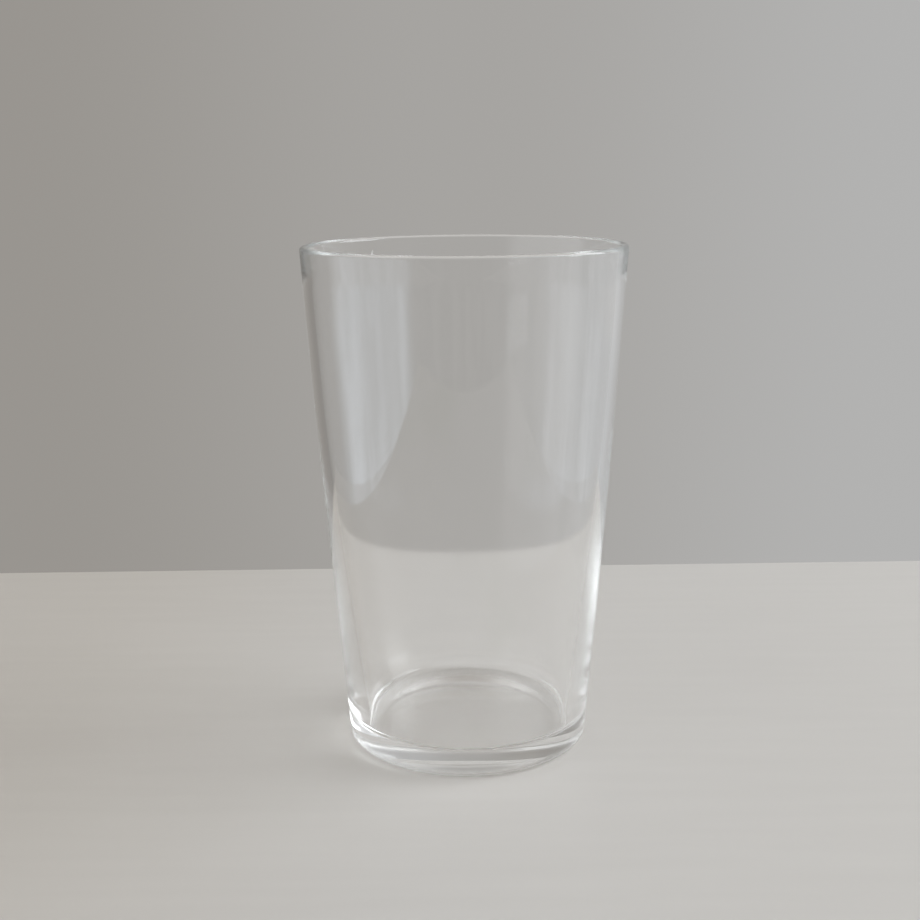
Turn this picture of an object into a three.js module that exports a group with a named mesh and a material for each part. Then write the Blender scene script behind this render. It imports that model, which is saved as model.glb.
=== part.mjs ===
// A plain conical drinking beaker, pressed and fire-polished in one piece of clear soda-lime glass.
// Millimetres, +Z up, origin on the table plane at the centre of the base.
import * as THREE from 'three';

// ---- Driving dimensions ----
const HEIGHT = 120; // table to the top of the lip
const RIM_RADIUS = 38; // outside, at the lip
const BASE_RADIUS = 29; // outside wall line carried down to the table
const BELLY = 0.35; // how far the wall swells past a straight taper at half height
const HEEL_RADIUS = 2; // rounded corner between the wall and the underside
const FOOT_RING_WIDTH = 4.5; // flat bearing ring that touches the table
const PUSH_UP = 1.15; // how far the middle of the underside is raised, as a shallow dome inside the ring
const LIP_WALL = 1.8; // wall thickness at the rounded lip
const UPPER_WALL = 2.1; // wall thickness in the upper half
const THICKEN_BELOW = 62; // height under which the wall grows thicker towards the base
const THICKEN_RATE = 0.045; // extra thickness for each millimetre below that height
const THICKEN_BLEND = 8; // height over which the thickening sets in
const FLOOR_HEIGHT = 5.5; // top of the inner floor above the table
const FLOOR_RADIUS = 23.0; // flat disc of the inner floor
const CORNER_HEIGHT = 2.0; // height of the rounded corner between floor and wall

// ---- Fineness of the round stretches ----
const TURN_SEGMENTS = 96; // steps around the axis
const DOME_STEPS = 6;
const HEEL_STEPS = 5;
const LIP_STEPS = 8;
const CORNER_STEPS = 7;
const OUTSIDE_STEPS = 4;
const INSIDE_STEPS = 8;

// Outside radius at height z: a straight taper with a slight swell at half height.
function outerRadius(z) {
  const rise = z / HEIGHT;
  return BASE_RADIUS + (RIM_RADIUS - BASE_RADIUS) * rise + BELLY * 4 * rise * (1 - rise);
}

// Inside radius at height z: parallel to the outside above, drawing in as the wall thickens below.
function innerRadius(z) {
  const thickening = THICKEN_BLEND * Math.log(1 + Math.exp((THICKEN_BELOW - z) / THICKEN_BLEND));
  return outerRadius(z) - UPPER_WALL - THICKEN_RATE * thickening;
}

// Points of an elliptical arc, angles in quarter turns from +X towards +Y of the profile plane.
function arc(centreR, centreZ, radiusR, radiusZ, fromQuarter, toQuarter, steps) {
  const points = [];
  for (let i = 0; i <= steps; i += 1) {
    const angle = (fromQuarter + ((toQuarter - fromQuarter) * i) / steps) * (Math.PI / 2);
    points.push(new THREE.Vector2(centreR + radiusR * Math.cos(angle), centreZ + radiusZ * Math.sin(angle)));
  }
  return points;
}

// Points of a wall line between two heights, both ends left out.
function wallLine(radiusAt, fromZ, toZ, steps) {
  const points = [];
  for (let i = 1; i < steps; i += 1) {
    const z = fromZ + ((toZ - fromZ) * i) / steps;
    points.push(new THREE.Vector2(radiusAt(z), z));
  }
  return points;
}

// Points of the domed underside, from the axis out to the bearing ring.
function dome(ringInside) {
  const points = [];
  for (let i = 0; i <= DOME_STEPS; i += 1) {
    const share = i / DOME_STEPS;
    points.push(new THREE.Vector2(ringInside * share, PUSH_UP * (1 - share * share)));
  }
  return points;
}

// Half section of the wall and base, from the axis under the base, round the outside and back to the axis.
function bodyProfile() {
  const heelCentre = outerRadius(HEEL_RADIUS) - HEEL_RADIUS;
  const ringInside = heelCentre - FOOT_RING_WIDTH;
  const lipHalf = LIP_WALL / 2;
  const lipCentre = RIM_RADIUS - lipHalf;
  const lipBottom = HEIGHT - lipHalf;
  const cornerTop = FLOOR_HEIGHT + CORNER_HEIGHT;
  const cornerWidth = innerRadius(cornerTop) - FLOOR_RADIUS;
  return [
    ...dome(ringInside),
    ...arc(heelCentre, HEEL_RADIUS, HEEL_RADIUS, HEEL_RADIUS, -1, 0, HEEL_STEPS),
    ...wallLine(outerRadius, HEEL_RADIUS, lipBottom, OUTSIDE_STEPS),
    ...arc(lipCentre, lipBottom, lipHalf, lipHalf, 0, 2, LIP_STEPS),
    ...wallLine(innerRadius, lipBottom, cornerTop, INSIDE_STEPS),
    ...arc(FLOOR_RADIUS, cornerTop, cornerWidth, CORNER_HEIGHT, 0, -1, CORNER_STEPS),
    new THREE.Vector2(0, FLOOR_HEIGHT),
  ];
}

// The whole vessel: wall, lip, heel and thick base are one piece of glass.
function makeGlassBody() {
  const geometry = new THREE.LatheGeometry(bodyProfile(), TURN_SEGMENTS);
  geometry.rotateX(Math.PI / 2);
  const material = new THREE.MeshStandardMaterial({
    color: new THREE.Color(0.86, 0.88, 0.87),
    roughness: 0.03,
    metalness: 0,
    transparent: true,
    opacity: 0.35,
  });
  const mesh = new THREE.Mesh(geometry, material);
  mesh.name = 'glass_body';
  return mesh;
}

const beaker = new THREE.Group();
beaker.add(makeGlassBody());

export default beaker;
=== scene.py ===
# %% [markdown]
# # A conical drinking beaker in clear glass
#
# The real beaker is one piece of soda-lime glass. A plunger presses it in a mould, which leaves a thick
# base and a wall that thins upwards, and a flame then rounds the lip. It has no spout, handle or
# marking, so everything that the eye reads comes from four things: the outline, the thickness of the
# glass, the finish of its surface, and what stands around it for the glass to bend and mirror.
#
# The work goes in this order: load the fixed frame, state the measures, stand the camera, set the table
# and the light, turn the glass, and give it its finish.

# %% Load the frame
import math

import bmesh
import bpy
from mathutils import Matrix, Vector


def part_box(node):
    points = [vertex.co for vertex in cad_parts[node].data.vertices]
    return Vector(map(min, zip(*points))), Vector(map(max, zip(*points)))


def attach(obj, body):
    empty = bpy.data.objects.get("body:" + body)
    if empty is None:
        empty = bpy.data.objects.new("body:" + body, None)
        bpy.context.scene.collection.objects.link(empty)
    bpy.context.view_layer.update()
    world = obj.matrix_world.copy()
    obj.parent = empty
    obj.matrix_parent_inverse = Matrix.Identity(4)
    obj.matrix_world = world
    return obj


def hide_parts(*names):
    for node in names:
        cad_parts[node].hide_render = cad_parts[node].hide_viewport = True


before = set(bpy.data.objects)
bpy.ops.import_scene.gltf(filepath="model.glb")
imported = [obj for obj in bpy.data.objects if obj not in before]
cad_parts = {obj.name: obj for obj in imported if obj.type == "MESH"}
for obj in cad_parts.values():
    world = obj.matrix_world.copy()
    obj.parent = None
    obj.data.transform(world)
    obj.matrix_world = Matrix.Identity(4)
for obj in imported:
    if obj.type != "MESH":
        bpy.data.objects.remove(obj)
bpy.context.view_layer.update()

MM = 0.001

# %% [markdown]
# ## Measures
#
# The outside measures come from the frame, so the turned glass is exactly as tall and as wide as the
# solid it stands for. The glass inside that outline has no corner to measure, so its thicknesses are
# stated here, once, in millimetres.

# %% Take the outside measures from the frame
body_low, body_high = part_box("glass_body")
HEIGHT = body_high.z - body_low.z
RIM_RADIUS = (body_high.x - body_low.x) / 2
FOOT_Z = body_low.z
print(f"beaker {HEIGHT / MM:.1f} mm tall, {2 * RIM_RADIUS / MM:.1f} mm across the lip")

# %% State the shape of the glass
BASE_RADIUS = RIM_RADIUS - 9.0 * MM  # the outside wall line carried down to the table
BELLY = 0.35 * MM  # swell of the wall past a straight taper, at half height
HEEL_RADIUS = 2.0 * MM  # rounded outer corner of the foot
FOOT_RING = 4.5 * MM  # flat ring that touches the table
PUSH_UP = 1.15 * MM  # height of the shallow dome inside that ring
LIP_WALL = 1.8 * MM  # thickness at the lip
LIP_BLEND = 6 * MM  # height over which the upper wall thins to the lip
UPPER_WALL = 2.1 * MM  # thickness of the upper wall
THICKEN_BELOW = 62 * MM  # under this height the wall thickens
THICKEN_RATE = 0.045  # millimetres of extra glass per millimetre of height
THICKEN_BLEND = 8 * MM  # height over which the thickening sets in
FLOOR_TOP = 5.5 * MM  # inside floor above the table
FLOOR_RADIUS = 23.0 * MM  # flat disc of the inside floor
CORNER_RISE = 2.0 * MM  # height of the rounded inside corner
print(f"base {(FLOOR_TOP - PUSH_UP) / MM:.2f} mm thick in the middle, wall {UPPER_WALL / MM:.1f} mm above")

# %% [markdown]
# ## Camera
#
# The eye stands a little above the lip, about an arm's length from the beaker, and looks slightly down.
# From there the mouth is a thin ellipse and the floor shows through the front wall. A longer lens from
# farther off would flatten the taper, and a wider one close up would exaggerate it, so a 35 mm lens on a
# square sensor of 24 mm is used. The camera leans by half a degree, as one held in the hand does.

# %% Stand the camera
EYE_DISTANCE = 313.7 * MM
EYE_HEIGHT = 140.4 * MM
LOOK_DOWN = math.radians(12.87)
TURN_LEFT = math.radians(0.25)
LEAN = math.radians(-0.5)
LENS = 35.0
SENSOR = 24.0
NEAREST_SEEN = 10 * MM

camera_data = bpy.data.cameras.new("eye")
camera_data.sensor_width = SENSOR
camera_data.lens = LENS
camera_data.clip_start = NEAREST_SEEN
camera = bpy.data.objects.new("eye", camera_data)
bpy.context.scene.collection.objects.link(camera)
camera.matrix_world = (
    Matrix.Translation((0, -EYE_DISTANCE, EYE_HEIGHT))
    @ Matrix.Rotation(TURN_LEFT, 4, "Z")
    @ Matrix.Rotation(math.pi / 2 - LOOK_DOWN, 4, "X")
    @ Matrix.Rotation(LEAN, 4, "Z")
)
bpy.context.scene.camera = camera
bpy.context.scene.view_settings.view_transform = "Standard"
print("camera at", [round(v, 4) for v in camera.matrix_world.translation])

# %% [markdown]
# ## Long light paths
#
# Light passes a glass wall many times: in and out of both walls, up and down inside the thick base, and
# round and round inside the rounded lip. Fewer bounces would be the usual choice, but then the base and
# the lip turn black, so the paths may be very long here. The glossy filter, which blurs mirrored light
# to save time, is off, because it would soften every line in the base.

# %% Allow long light paths
LIGHT_BOUNCES = 240
BRIGHTEST_BOUNCE = 10  # caps single stray paths, which would leave white dots

cycles = bpy.context.scene.cycles
cycles.max_bounces = LIGHT_BOUNCES
cycles.transmission_bounces = LIGHT_BOUNCES
cycles.glossy_bounces = LIGHT_BOUNCES
cycles.blur_glossy = 0
cycles.sample_clamp_indirect = BRIGHTEST_BOUNCE
print("light may bounce", cycles.max_bounces, "times")


# %% [markdown]
# ## Table
#
# A pale painted tabletop, wide enough for the foot's shadow and ending a hand's width behind the beaker.
# An endless floor would be simpler, but the back edge shows through the glass and bends there, which
# tells the eye how thick the wall is. The tabletop lies a hair under the foot, so that no face of the
# glass shares its place with a face of the table.

# %% Helpers for objects and materials
def clear_selection():
    if bpy.context.mode != "OBJECT":
        bpy.ops.object.mode_set(mode="OBJECT")
    bpy.ops.object.select_all(action="DESELECT")


def new_material(name):
    material = bpy.data.materials.new(name)
    material.use_nodes = True
    return material, material.node_tree, material.node_tree.nodes["Principled BSDF"]


# %% Make the tabletop
TABLE_HALF_WIDTH = 200 * MM
TABLE_FRONT = -320 * MM
TABLE_BACK = 134 * MM
TABLE_THICKNESS = 18 * MM
CONTACT_GAP = 0.15 * MM

clear_selection()
bpy.ops.mesh.primitive_cube_add(size=1, location=(0, (TABLE_FRONT + TABLE_BACK) / 2, 0))
tabletop = bpy.context.object
tabletop.name = "tabletop"
tabletop.scale = (2 * TABLE_HALF_WIDTH, TABLE_BACK - TABLE_FRONT, TABLE_THICKNESS)
tabletop.location.z = FOOT_Z - CONTACT_GAP - TABLE_THICKNESS / 2
bpy.ops.object.transform_apply(location=True, rotation=True, scale=True)
print("tabletop measures", [round(side, 3) for side in tabletop.dimensions])

# %% Turn the back edge a little, so that it isn't square to the eye
BACK_EDGE_TURN = math.radians(1.15)

bpy.ops.object.mode_set(mode="EDIT")
bpy.ops.mesh.select_all(action="DESELECT")
table_mesh = bmesh.from_edit_mesh(tabletop.data)
for vertex in table_mesh.verts:
    vertex.select = vertex.co.y > TABLE_BACK - MM
table_mesh.select_flush(True)
bmesh.update_edit_mesh(tabletop.data)
bpy.ops.transform.rotate(value=-BACK_EDGE_TURN, orient_axis="Z", center_override=(0, TABLE_BACK, 0))
bpy.ops.object.mode_set(mode="OBJECT")
print("tabletop back edge", [round(v.co.y, 4) for v in tabletop.data.vertices if v.co.y > 0])


# %% [markdown]
# ## Small node helpers
#
# The paint, the surround and the glass are all mixed from the same few parts: a soft step, a choice
# between two colours, a stretched noise and a sum. Each part is wired once here and used by name.

# %% Helpers for soft steps and layers
def rising(tree, source, start, end):
    """0 below start, 1 above end, soft between. start may be the higher one."""
    node = tree.nodes.new("ShaderNodeMapRange")
    node.interpolation_type = "SMOOTHSTEP"
    tree.links.new(source, node.inputs["Value"])
    node.inputs["From Min"].default_value = min(start, end)
    node.inputs["From Max"].default_value = max(start, end)
    if start > end:
        node.inputs["To Min"].default_value = 1
        node.inputs["To Max"].default_value = 0
    return node.outputs["Result"]


def layer(tree, factor, below, above):
    """below where the factor is 0, above where it is 1. Either may be a socket or a colour."""
    node = tree.nodes.new("ShaderNodeMix")
    node.data_type = "RGBA"
    tree.links.new(factor, node.inputs["Factor"])
    for name, colour in (("A", below), ("B", above)):
        if isinstance(colour, bpy.types.NodeSocket):
            tree.links.new(colour, node.inputs[name])
        else:
            node.inputs[name].default_value = colour
    return node.outputs["Result"]


def shade(tree, factor, colour, darker):
    """The colour as it is where the factor is 0, multiplied by darker where it is 1."""
    shaded = layer(tree, factor, colour, darker)
    shaded.node.blend_type = "MULTIPLY"
    return shaded


# %% Helpers for noise and sums
def noise(tree, place, scale, stretch, detail):
    spread = tree.nodes.new("ShaderNodeMapping")
    spread.inputs["Scale"].default_value = stretch
    tree.links.new(place, spread.inputs["Vector"])
    node = tree.nodes.new("ShaderNodeTexNoise")
    node.inputs["Scale"].default_value = scale
    node.inputs["Detail"].default_value = detail
    tree.links.new(spread.outputs["Vector"], node.inputs["Vector"])
    return node.outputs["Fac"]


def combine(tree, operation, first, second):
    node = tree.nodes.new("ShaderNodeMath")
    node.operation = operation
    tree.links.new(first, node.inputs[0])
    if isinstance(second, bpy.types.NodeSocket):
        tree.links.new(second, node.inputs[1])
    else:
        node.inputs[1].default_value = second
    return node.outputs[0]


def place_parts(tree):
    """The place on the object, whole and split into X, Y and Z."""
    place = tree.nodes.new("ShaderNodeTexCoord").outputs["Object"]
    split = tree.nodes.new("ShaderNodeSeparateXYZ")
    tree.links.new(place, split.inputs[0])
    return place, split.outputs


# %% [markdown]
# ## Paint of the table
#
# Brushed furniture paint is never one colour. The brush leaves long faint strokes. The left side of the
# table, away from the lamp, is painted warmer and darker as painted shade. An image texture would repeat,
# so the strokes are a noise that is stretched along the board, and the painted shade is one soft step
# across it.

# %% Paint the tabletop
STROKE_DARK = (0.645, 0.628, 0.606, 1)
STROKE_LIGHT = (0.685, 0.668, 0.646, 1)
STROKES = {"scale": 3, "stretch": (6, 60, 60), "detail": 4}  # ten times as long as they are wide
LEFT_SHADE_TINT = (0.93, 0.905, 0.87, 1)  # painted shade: the warmer, darker tone laid over the paint on the left side
LEFT_SHADE_FROM = 0
LEFT_SHADE_FULL = -130 * MM
PAINT_ROUGHNESS = 0.5
PAINT_GLOSS = 0.3


def table_paint():
    material, tree, shader = new_material("pale_paint")
    place, parts = place_parts(tree)
    strokes = noise(tree, place, **STROKES)
    unshaded_paint = layer(tree, strokes, STROKE_DARK, STROKE_LIGHT)
    # painted shade: the paint turns warmer and darker towards the left, away from the lamp
    left_shade = rising(tree, parts["X"], LEFT_SHADE_FROM, LEFT_SHADE_FULL)
    tree.links.new(shade(tree, left_shade, unshaded_paint, LEFT_SHADE_TINT), shader.inputs["Base Color"])
    shader.inputs["Roughness"].default_value = PAINT_ROUGHNESS
    shader.inputs["Specular IOR Level"].default_value = PAINT_GLOSS
    return material


tabletop.data.materials.append(table_paint())
print("tabletop painted with", tabletop.data.materials[0].name)

# %% [markdown]
# ## Light
#
# Clear glass has no colour of its own. It shows the room, so the room is painted with care, by compass
# direction and height, and it holds from every side. Panels and cards round the table would do the same
# in a studio, but painted light has no edges to hide and costs nothing to move.
#
# At eye level it is a plain grey surround, a little brighter to the right, with one tall soft window on
# the left. Lower down, where the outside of a tapered wall mirrors it, both sides are bright and a
# little cloudy, and they give the two long soft bands on the glass. Below that everything has the tone
# of the tabletop. Overhead is a pale ceiling with a warm dark patch right above the beaker.

# %% Name the tones of the surround
# Each stop is: degrees clockwise from behind the beaker, brightness, warmth.
EYE_LEVEL_STOPS = [
    (-180, 0.42, 0.5),
    (-150, 0.42, 0.3),
    (-136, 0.95, 0.0),
    (-84, 0.95, 0.0),
    (-70, 0.34, 0.5),
    (-33, 0.25, 1.0),
    (-19, 0.305, 1.0),
    (0, 0.375, 0.6),
    (19, 0.45, 0.2),
    (33, 0.53, 0.1),
    (58, 0.74, 0.0),
    (110, 0.50, 0.3),
    (180, 0.42, 0.5),
]
LOW_STOPS = [
    (-180, 0.42, 0.5),
    (-145, 0.42, 0.3),
    (-134, 1.6, -1.2),
    (-86, 1.6, -1.2),
    (-64, 0.34, 0.5),
    (-33, 0.25, 1.0),
    (-19, 0.305, 1.0),
    (0, 0.375, 0.6),
    (19, 0.45, 0.2),
    (33, 0.50, 0.1),
    (58, 0.66, -0.3),
    (72, 1.22, -0.5),
    (114, 1.22, -0.5),
    (126, 0.50, 0.3),
    (150, 0.42, 0.5),
    (180, 0.42, 0.5),
]
WARM_GREY = Vector((1.04, 0.985, 0.915))
COOL_GREY = Vector((0.99, 1.0, 1.005))
CEILING = (0.82, 0.3)
OVERHEAD = (0.28, 1.6)
GROUND = (0.52, 0.5)
CLOUD_SHADE = (0.72, 0.72, 0.72, 1)  # what is left of the low light in its darker patches
TONE_RANGE = 2.0  # painted colours are stored as a share of this


def tone(brightness, warmth):
    return (*(COOL_GREY.lerp(WARM_GREY, warmth) * brightness / TONE_RANGE), 1.0)


eye_level_brightness = [brightness for _, brightness, _ in EYE_LEVEL_STOPS]
print("eye-level brightness from", min(eye_level_brightness), "to", max(eye_level_brightness))

# %% State where one tone of the surround gives way to the next
# Heights are in degrees above the horizon, from where the change starts to where it is complete.
LOW_LIGHT = (-9, -12)
GROUND_TONE = (-21, -27)
CEILING_TONE = (32, 60)
OVERHEAD_TONE = (62, 74)
CLOUDS = {"scale": 9, "stretch": (1, 1, 0.7), "detail": 4}
CLOUD_EDGE = (0.38, 0.62)  # from the darkest part of a cloud to the clear light
PLAIN_BEHIND = (0.30, 0.45)  # towards the back the low light is plain


def sine(degrees):
    return math.sin(math.radians(degrees))


# %% Helpers that paint by direction
def compass_turn(tree, parts):
    """0 to 1 for one clockwise turn that starts and ends in front of the beaker."""
    compass = tree.nodes.new("ShaderNodeMath")
    compass.operation = "ARCTAN2"
    tree.links.new(parts["X"], compass.inputs[0])
    tree.links.new(parts["Y"], compass.inputs[1])
    turn = tree.nodes.new("ShaderNodeMapRange")
    turn.inputs["From Min"].default_value = -math.pi
    turn.inputs["From Max"].default_value = math.pi
    tree.links.new(compass.outputs[0], turn.inputs["Value"])
    return turn.outputs["Result"]


def ramp_round(tree, turn, stops):
    node = tree.nodes.new("ShaderNodeValToRGB")
    tree.links.new(turn, node.inputs["Fac"])
    ramp = node.color_ramp
    ramp.interpolation = "EASE"
    while len(ramp.elements) > 1:
        ramp.elements.remove(ramp.elements[-1])
    ramp.elements[0].position = 0
    ramp.elements[0].color = tone(*stops[0][1:])
    for degrees, brightness, warmth in stops[1:]:
        ramp.elements.new((degrees + 180) / 360).color = tone(brightness, warmth)
    return node.outputs["Color"]


def above(tree, height, change):
    start, end = change
    return rising(tree, height, sine(start), sine(end))


# %% Paint the surround
def paint_surround():
    world = bpy.data.worlds.new("studio")
    bpy.context.scene.world = world
    world.use_nodes = True
    tree = world.node_tree
    direction = tree.nodes.new("ShaderNodeTexCoord").outputs["Generated"]
    split = tree.nodes.new("ShaderNodeSeparateXYZ")
    tree.links.new(direction, split.inputs[0])
    parts = split.outputs
    turn = compass_turn(tree, parts)

    eye_level = ramp_round(tree, turn, EYE_LEVEL_STOPS)
    clouds = rising(tree, noise(tree, direction, **CLOUDS), *CLOUD_EDGE)
    clear = combine(tree, "MAXIMUM", clouds, rising(tree, parts["Y"], *PLAIN_BEHIND))
    low_down = shade(tree, rising(tree, clear, 1, 0), ramp_round(tree, turn, LOW_STOPS), CLOUD_SHADE)

    walls = layer(tree, above(tree, parts["Z"], LOW_LIGHT), eye_level, low_down)
    grounded = layer(tree, above(tree, parts["Z"], GROUND_TONE), walls, tone(*GROUND))
    covered = layer(tree, above(tree, parts["Z"], CEILING_TONE), grounded, tone(*CEILING))
    whole = layer(tree, above(tree, parts["Z"], OVERHEAD_TONE), covered, tone(*OVERHEAD))
    background = tree.nodes["Background"]
    background.inputs["Strength"].default_value = TONE_RANGE
    tree.links.new(whole, background.inputs["Color"])


paint_surround()
print("surround painted with", len(EYE_LEVEL_STOPS) + len(LOW_STOPS), "stops")

# %% [markdown]
# ## Lamp
#
# One soft lamp stands low on the right. It gives the table a second tone, so that the beaker throws a
# faint long shadow to the left. A small lamp would throw a harder shadow, but glass mirrors a lamp as
# it is, and a small one would stand in it as a hard white dot, so the lamp is a broad panel.

# %% Stand the soft lamp
LAMP_SIZE = 0.8
LAMP_WATTS = 8.5
LAMP_COLOUR = (0.93, 0.97, 1.0)
LAMP_DISTANCE = 1.3
LAMP_TURN = math.radians(94)
LAMP_RISE = math.radians(28)


def stand_lamp():
    lamp_data = bpy.data.lights.new("soft_lamp", "AREA")
    lamp_data.shape = "SQUARE"
    lamp_data.size = LAMP_SIZE
    lamp_data.energy = LAMP_WATTS
    lamp_data.color = LAMP_COLOUR
    lamp = bpy.data.objects.new("soft_lamp", lamp_data)
    bpy.context.scene.collection.objects.link(lamp)
    lamp.location = LAMP_DISTANCE * Vector(
        (
            math.sin(LAMP_TURN) * math.cos(LAMP_RISE),
            -math.cos(LAMP_TURN) * math.cos(LAMP_RISE),
            math.sin(LAMP_RISE),
        )
    )
    aim = Vector((0, 0, HEIGHT / 2)) - lamp.location
    lamp.rotation_euler = aim.to_track_quat("-Z", "Y").to_euler()
    return lamp


print("lamp at", [round(v, 3) for v in stand_lamp().location])


# %% [markdown]
# ## The glass, as a section
#
# A pressed glass could be built ring by ring, or as an outer and an inner cup joined at the lip. Its
# maker thinks of it as one section turned about an axis, so it is made that way here: one vertex is
# extruded from point to point along the half section, and the line is spun once round the axis. Base,
# heel, wall, lip and floor are then one closed skin with nothing to join.
#
# The outside is a straight taper with the slightest swell. The inside runs parallel to it above, and
# draws in below half height, because the plunger has more taper than the mould. That wedge of glass is
# what lifts the table's edge where it is seen through the wall. The underside is a shallow dome inside
# a flat ring, so that the glass stands steady on the ring alone. Dome and floor together give the light
# and dark bands that show through the front of the base.

# %% Describe the two faces of the wall
def outer_radius(z):
    rise = z / HEIGHT
    return BASE_RADIUS + (RIM_RADIUS - BASE_RADIUS) * rise + BELLY * 4 * rise * (1 - rise)


def inner_radius(z):
    thickening = THICKEN_BLEND * math.log(1 + math.exp((THICKEN_BELOW - z) / THICKEN_BLEND))
    return outer_radius(z) - UPPER_WALL - THICKEN_RATE * thickening


def lip_inner_radius(z):
    """The inner face, drawn out to the thinner lip in the last few millimetres."""
    share = max(0.0, (z - (HEIGHT - LIP_BLEND)) / (LIP_BLEND - LIP_WALL / 2))
    lip_inside = RIM_RADIUS - LIP_WALL
    return inner_radius(z) + (lip_inside - inner_radius(HEIGHT - LIP_WALL / 2)) * share


for height in (10 * MM, 60 * MM, 110 * MM):
    thickness = outer_radius(height) - inner_radius(height)
    print(f"wall {thickness / MM:.2f} mm thick at {height / MM:.0f} mm")


# %% Helpers for the stretches of the section
# Each returns a list of points (radius, height), in the order in which the section is drawn.
def dome(edge_radius, rise, steps):
    shares = [i / steps for i in range(steps + 1)]
    return [(edge_radius * share, rise * (1 - share**2)) for share in shares]


def wall_line(radius_at, from_z, to_z, steps):
    heights = [from_z + (to_z - from_z) * i / steps for i in range(steps + 1)]
    return [(radius_at(z), z) for z in heights]


def round_corner(centre, width, rise, start, end, steps):
    angles = [math.radians(start + (end - start) * i / steps) for i in range(steps + 1)]
    return [(centre[0] + width * math.cos(a), centre[1] + rise * math.sin(a)) for a in angles]


# %% Put the half section together
DOME_STEPS = 24
HEEL_STEPS = 12
OUTSIDE_STEPS = 16
LIP_STEPS = 32
INSIDE_STEPS = 28
CORNER_STEPS = 16


def half_section():
    heel_centre = (outer_radius(HEEL_RADIUS) - HEEL_RADIUS, HEEL_RADIUS)
    lip_half = LIP_WALL / 2
    lip_centre = (RIM_RADIUS - lip_half, HEIGHT - lip_half)
    corner_centre = (FLOOR_RADIUS, FLOOR_TOP + CORNER_RISE)
    corner_width = inner_radius(corner_centre[1]) - FLOOR_RADIUS
    underside = dome(heel_centre[0] - FOOT_RING, PUSH_UP, DOME_STEPS)
    heel = round_corner(heel_centre, HEEL_RADIUS, HEEL_RADIUS, -90, 0, HEEL_STEPS)
    outside = wall_line(outer_radius, HEEL_RADIUS, lip_centre[1], OUTSIDE_STEPS)[1:-1]
    lip = round_corner(lip_centre, lip_half, lip_half, 0, 180, LIP_STEPS)
    inside = wall_line(lip_inner_radius, lip_centre[1], corner_centre[1], INSIDE_STEPS)[1:-1]
    corner = round_corner(corner_centre, corner_width, CORNER_RISE, 0, -90, CORNER_STEPS)
    return underside + heel + outside + lip + inside + corner + [(0, FLOOR_TOP)]


section = half_section()
print("half section has", len(section), "points")


# %% [markdown]
# ## The section, drawn and turned
#
# A small plane merged to its middle leaves the single vertex that the section starts from, and each
# extrude carries the newest vertex on to the next point. A curve object could carry the same outline,
# but a drawn line of edges spins straight into faces, with no conversion in between.

# %% Draw the section
def start_vertex(name, place):
    clear_selection()
    bpy.ops.mesh.primitive_plane_add(size=MM, location=place)
    piece = bpy.context.object
    piece.name = name
    bpy.ops.object.transform_apply(location=True, rotation=True, scale=True)
    bpy.ops.object.mode_set(mode="EDIT")
    bpy.ops.mesh.select_all(action="SELECT")
    bpy.ops.mesh.merge(type="CENTER")
    return piece


def draw_section(points):
    for (r0, z0), (r1, z1) in zip(points, points[1:]):
        bpy.ops.mesh.extrude_region_move(TRANSFORM_OT_translate={"value": (r1 - r0, 0, z1 - z0)})


glass = start_vertex("beaker_glass", (0, 0, FOOT_Z + section[0][1]))
draw_section(section)
bpy.ops.object.mode_set(mode="OBJECT")
print("section drawn with", len(glass.data.vertices), "vertices")

# %% Spin the section round the axis
TURN_STEPS = 256
MERGE_DISTANCE = 0.001 * MM  # joins the two ends of the turn, and the points on the axis

bpy.ops.object.mode_set(mode="EDIT")
bpy.ops.mesh.select_all(action="SELECT")
bpy.ops.mesh.spin(steps=TURN_STEPS, angle=2 * math.pi, center=(0, 0, 0), axis=(0, 0, 1))
bpy.ops.mesh.select_all(action="SELECT")
bpy.ops.mesh.remove_doubles(threshold=MERGE_DISTANCE)
bpy.ops.mesh.normals_make_consistent(inside=False)
bpy.ops.object.mode_set(mode="OBJECT")
print("glass turned:", len(glass.data.vertices), "vertices,", len(glass.data.polygons), "faces")

# %% Smooth the turned faces, and leave the edge of the dome crisp
CRISP_FROM = math.radians(10)
bpy.ops.object.shade_smooth_by_angle(angle=CRISP_FROM)
print("smooth faces:", sum(face.use_smooth for face in glass.data.polygons))


# %% [markdown]
# ## Finish of the glass
#
# Soda-lime glass bends light by 1.52 and is smooth enough to mirror, and a perfect one needs nothing
# more. What tells a real glass from a perfect one is small, and it all comes from where on the glass it
# is. The mould leaves faint upright waves and a skin that is a little less smooth than the lip, which
# the flame has polished. Drying water leaves patches of film, and tables wear the ring that the glass
# stands on. The skin matters most: without it the lower wall has a row of hard beads of light along its
# outline, and with it they spread into a soft band.

# %% Name the finishes of the glass
GLASS_INDEX = 1.52
CLEAN = (1.0, 1.0, 1.0, 1)
FILMED = (0.975, 0.98, 0.97, 1)
FILM_PATCHES = {"scale": 38, "stretch": (1, 1, 0.6), "detail": 5}
FILM_EDGE = (0.60, 0.74)  # from clean glass to the middle of a patch
FILM_ROUGHNESS = 0.06
WEAR_TOP = 0.35 * MM  # the foot is worn up to this height
SCUFFS = {"scale": 900, "stretch": (1, 1, 1), "detail": 3}
WEAR_ROUGHNESS = 0.35
SKIN_STARTS = (7 * MM, 15 * MM)  # the base is clear under the first height, the skin whole above both
FLAME_REACH = (80 * MM, 50 * MM)  # the skin is gone above the first height and whole below the second
SKIN_ROUGHNESS = 0.06
WAVE_RELIEF = 0.05 * MM  # height of the upright waves
WAVES = {"scale": 75, "stretch": (1, 1, 0.12), "detail": 1}
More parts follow.
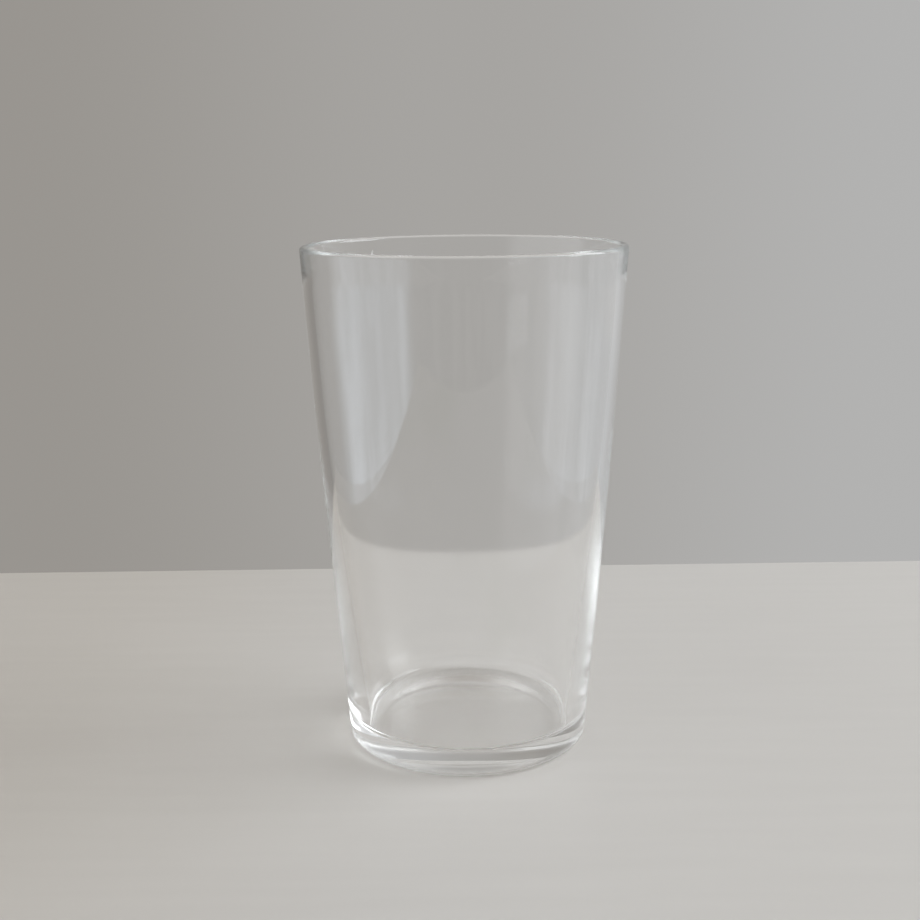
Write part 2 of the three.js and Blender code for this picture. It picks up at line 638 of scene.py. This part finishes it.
GLASS_TINT = (0.62, 0.66, 0.65, 1)
TINT_DENSITY = 1.5


# %% Mix the clear glass
def glass_roughness(tree, place, height, film):
    worn = rising(tree, height, WEAR_TOP, 0)
    scuffed = combine(tree, "MULTIPLY", worn, noise(tree, place, **SCUFFS))
    wear = combine(tree, "MULTIPLY", scuffed, WEAR_ROUGHNESS)
    haze = combine(tree, "MULTIPLY", film, FILM_ROUGHNESS)
    under_flame = rising(tree, height, *FLAME_REACH)
    over_base = rising(tree, height, *SKIN_STARTS)
    skin = combine(tree, "MULTIPLY", combine(tree, "MULTIPLY", under_flame, over_base), SKIN_ROUGHNESS)
    return combine(tree, "ADD", combine(tree, "ADD", wear, haze), skin)


def glass_waves(tree, place):
    relief = tree.nodes.new("ShaderNodeBump")
    relief.inputs["Strength"].default_value = 1
    relief.inputs["Distance"].default_value = WAVE_RELIEF
    tree.links.new(noise(tree, place, **WAVES), relief.inputs["Height"])
    return relief.outputs["Normal"]


def clear_glass():
    material, tree, shader = new_material("clear_glass")
    place, parts = place_parts(tree)
    film = rising(tree, noise(tree, place, **FILM_PATCHES), *FILM_EDGE)
    shader.inputs["Transmission Weight"].default_value = 1
    shader.inputs["IOR"].default_value = GLASS_INDEX
    tree.links.new(layer(tree, film, CLEAN, FILMED), shader.inputs["Base Color"])
    tree.links.new(glass_roughness(tree, place, parts["Z"], film), shader.inputs["Roughness"])
    tree.links.new(glass_waves(tree, place), shader.inputs["Normal"])
    depth = tree.nodes.new("ShaderNodeVolumeAbsorption")
    depth.inputs["Color"].default_value = GLASS_TINT
    depth.inputs["Density"].default_value = TINT_DENSITY
    tree.links.new(depth.outputs["Volume"], tree.nodes["Material Output"].inputs["Volume"])
    return material


glass.data.materials.append(clear_glass())
print("glass finished with", glass.data.materials[0].name)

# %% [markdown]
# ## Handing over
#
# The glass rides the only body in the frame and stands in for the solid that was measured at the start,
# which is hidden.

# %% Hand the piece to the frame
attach(glass, "root")
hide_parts("glass_body")
